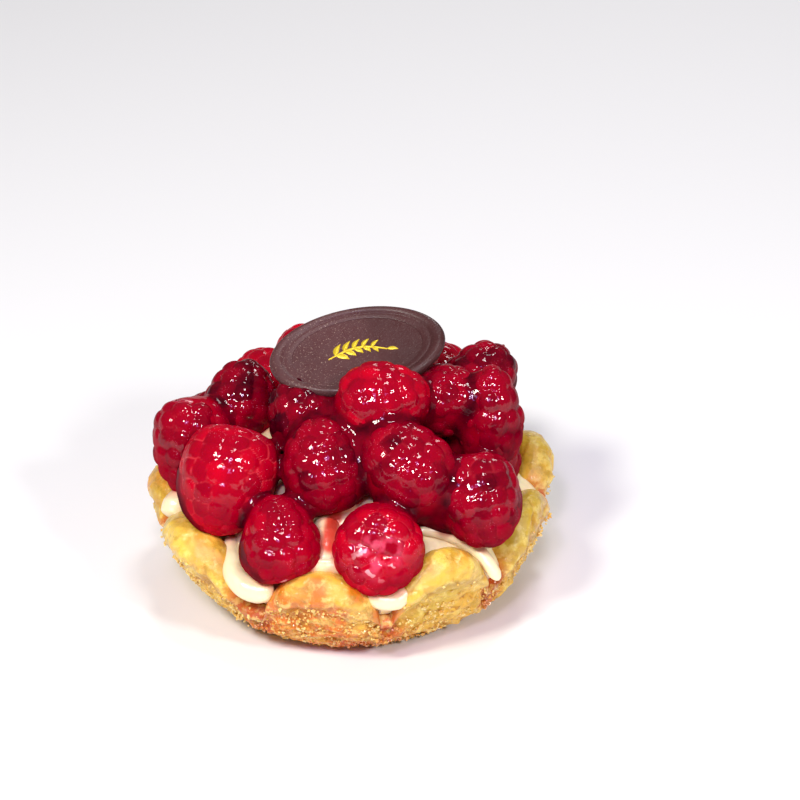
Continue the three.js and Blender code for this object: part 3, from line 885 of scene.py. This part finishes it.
def contact_planes(name):
    """Planes where a raspberry meets its neighbours, as in the solids: a normal and an offset."""
    middle, size, tip, _, _ = BERRIES[name]
    planes = []
    for other, (its_middle, its_size, its_tip, _, _) in BERRIES.items():
        if other == name:
            continue
        away = np.array(its_middle) - np.array(middle)
        distance = np.linalg.norm(away)
        normal = away / distance
        reach = support(size, tip, normal)
        its_reach = support(its_size, its_tip, -normal)
        if reach + its_reach > distance:
            planes.append((normal, (reach + distance - its_reach) / 2))
    return planes


def support(size, tip, normal):
    """How far a raspberry reaches from its middle along a direction."""
    width, length = size
    lengthways = float(np.dot(direction(tip), normal))
    across = math.sqrt(max(0.0, 1 - lengthways**2))
    return math.hypot(length / 2 * lengthways, width / 2 * across)


def make_berry(name, material):
    """A raspberry of drupelets, pressed flat where it meets its neighbours. Painted for its material: gloss
    on what faces up, each drupelet's red, which partly carries painted shade, pale seams, and a pale pink
    hollow at the base with painted glints."""
    middle, (width, length), tip, bright, pale_seams = BERRIES[name]
    random = np.random.default_rng(sum(map(ord, name)) * 31 + len(name))
    columns, rows = FINE_BERRY_GRID if pale_seams > FINE_FROM_SEAMS else BERRY_GRID
    angles = np.linspace(0, 360, columns, endpoint=False)
    polars = np.linspace(0, 180, rows + 2)[1:-1]
    angle, polar = np.meshgrid(angles, polars)
    flat_angle, flat_polar = angle.ravel(), polar.ravel()
    smooth = berry_form(width, length, flat_polar, flat_angle)
    middles = drupelet_middles(width, length, random)
    number, dome, seam = drupelet_relief(smooth, middles)
    sizes = random.uniform(0.75, 1.1, len(middles))
    out = DRUPELET_HEIGHT * (1.1 - 0.6 * pale_seams) * (dome * sizes[number] - 0.72)
    places = berry_form(width, length, flat_polar, flat_angle, out)
    places += 0.25 * noise(places, 5, len(name))[:, None] * unit(smooth)
    base = (0, 0, -length / 2 + BERRY_HOLLOW)
    top = (0, 0, length / 2 + DRUPELET_HEIGHT * 0.2)
    vertices, faces = turned(places.reshape(*angle.shape, 3), base, top)
    turn = Vector((0, 0, 1)).rotation_difference(Vector(direction(tip))).to_matrix()
    vertices = vertices @ np.array(turn).T
    facing_up = vertices[:, 2] / np.linalg.norm(vertices, axis=1)
    for normal, offset in contact_planes(name):
        beyond = np.maximum(vertices @ normal - (offset - BERRY_GAP), 0)
        vertices -= beyond[:, None] * normal
    piece = build_mesh(f"raspberry_{name}_detailed", vertices + np.array(middle), faces)
    paint(piece, "glazed", 0.05 + 0.25 * smoothstep(facing_up, -0.25, 0.5))
    # Each drupelet's red: the raspberry's own, darkened partly as painted shade where it lies in shade.
    own = bright + random.uniform(-0.16, 0.16, len(middles))
    paint(piece, "bright", with_poles(own[number]))
    line = (1 - smoothstep(seam, 0.03, 0.3)) * pale_seams * 0.5
    paint(piece, "seam", with_poles(line * smoothstep(noise(smooth, 7, 5), -0.35, 0.5)))
    # Mask of the pink base hollow, which also places its painted glints.
    paint(piece, "scar_and_glints", with_poles(np.exp(-(((flat_polar - 10) / 13) ** 2)) * 0.8))
    return finished(piece, material, "raspberry", "raspberry_" + name)


def outside_berry(places, berry):
    """About how far places are outside one raspberry's smooth form, in millimetres."""
    middle, (width, length), tip, _, _ = berry
    axis = np.array(direction(tip))
    away = places - np.array(middle)
    lengthways = away @ axis
    across = np.sqrt(np.maximum((away**2).sum(axis=1) - lengthways**2, 0))
    wide, tall = across / (width / 2), -lengthways / (length / 2)
    scaled = np.maximum(np.hypot(wide, tall), 1e-6)
    sine, cosine = wide / scaled, tall / scaled
    form = np.hypot(sine**BERRY_FULLNESS * (1 + BERRY_TAPER * cosine), cosine)
    return (1 - form / scaled) * np.hypot(across, lengthways)


def net_places(field):
    """Which cells of a grid the surface crosses where field changes sign, and where, in cells."""
    inside = field < 0
    cells = tuple(size - 1 for size in field.shape)
    total = np.zeros((*cells, 3))
    count = np.zeros(cells)
    offsets = [(a, b, c) for a in (0, 1) for b in (0, 1) for c in (0, 1)]

    def view(grid, at):
        return grid[tuple(slice(at[i], at[i] + cells[i]) for i in range(3))]

    for first in offsets:
        for axis in range(3):
            if first[axis]:
                continue
            second = tuple(first[i] + (i == axis) for i in range(3))
            low, high = view(field, first), view(field, second)
            crossed = view(inside, first) != view(inside, second)
            share = np.where(crossed, low / np.where(crossed, low - high, 1), 0)
            for i in range(3):
                total[..., i] += crossed * (first[i] + (share if i == axis else 0))
            count += crossed
    active = count > 0
    return active, np.argwhere(active) + total[active] / count[active][:, None]


def net_faces(inside, number):
    """A face round every edge of the grid that the surface crosses, between numbered cells."""
    faces = []
    for axis in range(3):
        one, two = (axis + 1) % 3, (axis + 2) % 3
        spots = np.argwhere(np.diff(inside, axis=axis))
        spots = spots[(spots[:, one] > 0) & (spots[:, two] > 0)]
        spots = spots[(spots[:, one] < number.shape[one]) & (spots[:, two] < number.shape[two])]
        quad = []
        for back_one, back_two in ((1, 1), (0, 1), (0, 0), (1, 0)):
            at = spots.copy()
            at[:, one] -= back_one
            at[:, two] -= back_two
            quad.append(number[tuple(at.T)])
        quad = np.stack(quad, axis=1)
        flipped = ~inside[tuple(spots.T)]
        quad[flipped] = quad[flipped][:, ::-1]
        faces.append(quad)
    return np.concatenate(faces)


def surface_net(field):
    """Vertices, counted in cells, and faces of the surface where field, on a grid, changes sign."""
    active, places = net_places(field)
    number = np.full(active.shape, -1)
    number[active] = np.arange(len(places))
    return places, net_faces(field < 0, number)


def glaze_field(axes):
    """Below 0 where there is glaze, on a grid: raspberries and pools blended, so that it lies just
    under a lone raspberry's form and fills the hollows between neighbours."""
    blended = np.zeros([len(axis) for axis in axes])
    for berry in BERRIES.values():
        reach = max(berry[1]) / 2 + 6 * GLAZE_BLEND
        near = [np.flatnonzero(np.abs(axes[i] - berry[0][i]) < reach) for i in range(3)]
        window = tuple(slice(part[0], part[-1] + 1) for part in near)
        grid = np.stack(np.meshgrid(*(axes[i][near[i]] for i in range(3)), indexing="ij"), axis=-1)
        outside = outside_berry(grid.reshape(-1, 3), berry).reshape(grid.shape[:3])
        blended[window] += np.exp(-outside / GLAZE_BLEND)
    everywhere = np.stack(np.meshgrid(*axes, indexing="ij"), axis=-1)
    for middle, radius in GLAZE_POOLS:
        away = np.linalg.norm(everywhere - np.array(middle), axis=-1)
        blended += np.exp((radius - GLAZE_DEPTH - away) / GLAZE_BLEND)
    return -GLAZE_BLEND * np.log(np.maximum(blended, 1e-9)) + GLAZE_DEPTH


def make_glaze():
    """Glaze gathered where raspberries meet, without what is hidden deep inside them."""
    axes = [np.arange(low, high, GLAZE_STEP) for low, high in zip(*GLAZE_BOX)]
    vertices, faces = surface_net(glaze_field(axes))
    vertices = vertices * GLAZE_STEP + GLAZE_BOX[0]
    distances = np.array([outside_berry(vertices, berry) for berry in BERRIES.values()])
    nearest, second = np.sort(distances, axis=0)[:2]
    shown = nearest > -GLAZE_DEPTH + 0.02
    faces = faces[shown[faces].any(axis=1)]
    used, compact = np.unique(faces, return_inverse=True)
    piece = build_mesh("glaze", vertices[used], compact.reshape(-1, 4).tolist())
    paint(piece, "pale", (1 - smoothstep(vertices[used][:, 2], 22, 30)) * 0.15)
    bright = np.array([berry[3] for berry in BERRIES.values()])[distances.argmin(axis=0)]
    film = (1 - smoothstep(nearest, -0.5, 0.5)) * smoothstep(second, 0.6, 3.2)
    paint(piece, "film", (bright * film)[used])
    facing_up = np.array([vertex.normal.z for vertex in piece.data.vertices])
    paint(piece, "glazed", 0.03 + 0.22 * smoothstep(facing_up, -0.1, 0.6))
    return finished(piece, gel_material(), "raspberry")


def plaque_place(points):
    """Puts points of the lying plaque where it leans on the heap."""
    turn = (
        Quaternion((1, 0, 0), math.radians(PLAQUE_LEAN))
        @ Quaternion((0, 1, 0), math.radians(-PLAQUE_RISE))
        @ Quaternion((0, 0, 1), math.radians(PLAQUE_TURN))
    )
    return points @ np.array(turn.to_matrix()).T + np.array(PLAQUE_AT)


def make_plaque():
    """The oval plaque with its rolled rim, dusty towards its left end, which is also painted lighter as
    painted light.
    """
    angles = np.radians(np.linspace(0, 360, PLAQUE_COLUMNS, endpoint=False))
    section = spline(PLAQUE_RIM, PLAQUE_ROWS)[1:-1]
    rings = np.zeros((len(section), PLAQUE_COLUMNS, 3))
    rings[..., 0] = section[:, :1] * PLAQUE_HALF_LENGTH * np.cos(angles)
    rings[..., 1] = section[:, :1] * PLAQUE_HALF_WIDTH * np.sin(angles)
    rings[..., 2] = section[:, 1:]
    vertices, faces = turned(rings, (0, 0, 0), (0, 0, PLAQUE_DISH - 0.03))
    piece = build_mesh("chocolate_plaque_detailed", plaque_place(vertices), faces)
    # Mask for the dust specks and for the painted light, strongest at the left end.
    paint(piece, "dust_and_lit_side", 1 - 0.8 * smoothstep(vertices[:, 0] + 3 * noise(vertices, 5, 22), -8, 8))
    return finished(piece, chocolate_material(), "chocolate", "chocolate_plaque")


def ribbon(points, widths):
    """A flat stroke on the plaque's dish, with round shoulders."""
    points = np.array(points, float)
    along = unit(np.gradient(points, axis=0))
    side = np.stack([-along[:, 1], along[:, 0]], axis=1) * np.array(widths)[:, None]
    profile = [(-1.0, -0.05), (-0.6, 0.13), (0.0, 0.18), (0.6, 0.13), (1.0, -0.05)]
    wide = len(profile)
    vertices = [
        (*(point + share * across), PLAQUE_DISH + height)
        for point, across in zip(points, side)
        for share, height in profile
    ]
    faces = [
        (row * wide + i, row * wide + i + 1, (row + 1) * wide + i + 1, (row + 1) * wide + i)
        for row in range(len(points) - 1)
        for i in range(wide - 1)
    ]
    return np.array(vertices), faces


def leaf(start, turn, length):
    """A pointed leaf as a ribbon that swells and closes."""
    share = np.linspace(0, 1, 14)
    heading = math.radians(turn)
    bend = 0.12 * length * np.sin(np.pi * share)
    x = start[0] + length * share * math.cos(heading) - bend * math.sin(heading)
    y = start[1] + length * share * math.sin(heading) + bend * math.cos(heading)
    return np.stack([x, y], axis=1), 0.04 + 0.2 * length * np.sin(np.pi * share**0.8)


def make_sprig():
    """A plain gold sprig: a curved stem with leaves on both sides."""
    share = np.linspace(0, 1, STEM_POINTS)
    stem = np.stack([-6.4 + 12.8 * share, -0.7 + 1.5 * np.sin(np.pi * (share * 1.15 - 0.1))], axis=1)
    strokes = [(stem, 0.16 + 0.16 * np.sin(np.pi * share))]
    for index, spot in enumerate(LEAF_SPOTS):
        for hand in (-1, 1):
            turn = 18 + hand * 46 - 6 * index
            strokes.append(leaf(stem[spot], turn, 3.2 - 0.25 * index))
    strokes.append(leaf(stem[-1], -14, 2.4))
    vertices = []
    faces = []
    start = 0
    for points, widths in strokes:
        own, own_faces = ribbon(points, widths)
        vertices.append(own)
        faces += [tuple(corner + start for corner in face) for face in own_faces]
        start += len(own)
    piece = build_mesh("gold_sprig", plaque_place(np.concatenate(vertices)), faces)
    return finished(piece, gold_material(), "chocolate")


def make_floor():
    far = FLOOR_HALF_SIDE
    mesh = bpy.data.meshes.new("floor")
    mesh.from_pydata([(-far, -far, 0), (far, -far, 0), (far, far, 0), (-far, far, 0)], [], [(0, 1, 2, 3)])
    floor = bpy.data.objects.new("floor", mesh)
    bpy.context.scene.collection.objects.link(floor)
    n = Nodes("floor")
    n.set(Base_Color=(0.88, 0.88, 0.88, 1), Roughness=0.6, Specular_IOR_Level=0.2)
    mesh.materials.append(n.material)


def add_light(name, place, size, power, colour):
    light = bpy.data.lights.new(name, "AREA")
    light.shape = "DISK"
    light.size = size
    light.energy = power
    light.color = colour
    lamp = bpy.data.objects.new(name, light)
    lamp.location = place
    lamp.rotation_euler = (Vector(LIGHTS_AIM) - Vector(place)).to_track_quat("-Z", "Y").to_euler()
    bpy.context.scene.collection.objects.link(lamp)


def light_scene():
    world = bpy.data.worlds.new("studio")
    world.use_nodes = True
    background = world.node_tree.nodes["Background"]
    background.inputs["Color"].default_value = (1, 1, 1, 1)
    background.inputs["Strength"].default_value = WORLD_STRENGTH
    bpy.context.scene.world = world
    for name, settings in LIGHTS.items():
        add_light(name, *settings)
    bpy.context.scene.view_settings.view_transform = "Standard"


def add_camera():
    tilt = math.radians(CAMERA_HEIGHT_ANGLE)
    right = Vector((1, 0, 0))
    up = Vector((0, math.sin(tilt), math.cos(tilt)))
    ahead = Vector((0, math.cos(tilt), -math.sin(tilt)))
    middle = PICTURE_WIDTH / 2
    across = (FOOT_PIXEL[0] - middle) / PIXELS_PER_METRE
    below = (middle - FOOT_PIXEL[1]) / PIXELS_PER_METRE
    camera = bpy.data.objects.new("camera", bpy.data.cameras.new("camera"))
    camera.data.sensor_width = SENSOR_WIDTH
    camera.data.lens = PIXELS_PER_METRE * CAMERA_DISTANCE * SENSOR_WIDTH / PICTURE_WIDTH
    camera.location = Vector(FOOT) * MM - across * right - below * up - CAMERA_DISTANCE * ahead
    camera.rotation_euler = ahead.to_track_quat("-Z", "Y").to_euler()
    bpy.context.scene.collection.objects.link(camera)
    bpy.context.scene.camera = camera


add_camera()
light_scene()
make_floor()
make_cup()
scatter_sugar()
make_cream()
berry_look = raspberry_material()
for berry_name in BERRIES:
    make_berry(berry_name, berry_look)
make_glaze()
make_plaque()
make_sprig()
